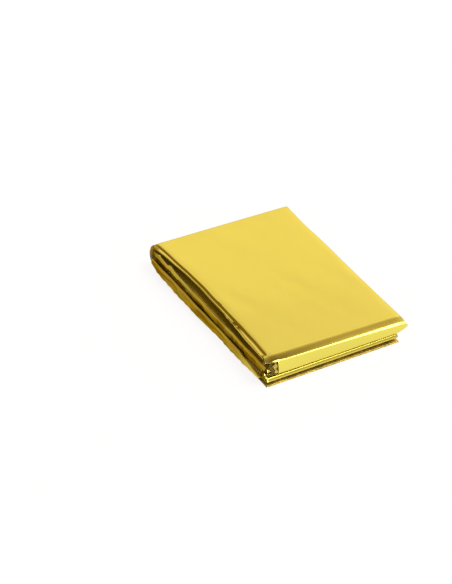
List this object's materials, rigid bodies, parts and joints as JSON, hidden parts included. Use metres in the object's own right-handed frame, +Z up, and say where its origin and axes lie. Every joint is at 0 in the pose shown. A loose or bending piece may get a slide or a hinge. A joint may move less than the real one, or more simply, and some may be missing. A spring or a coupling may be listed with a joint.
{
  "type": "folded emergency foil blanket",
  "caption": "Gold metallised film blanket, pleated into a strip and folded back and forth into a flat pocket packet, to be opened and wrapped round a person.",
  "frame": {"origin": "middle of the packet's footprint, on the surface that it lies on", "axes": "+X across the strip, away from the pleated edges that lie uppermost, +Y along the passes, towards the big rear bend, +Z up"},
  "size_m": [0.0862, 0.1312, 0.0149],
  "materials": {
    "gold_foil": "mirror-bright gold metallised polyester film, softly wrinkled"
  },
  "bodies": {
    "root": {"blanket": "gold_foil"}
  },
  "joints": []
}
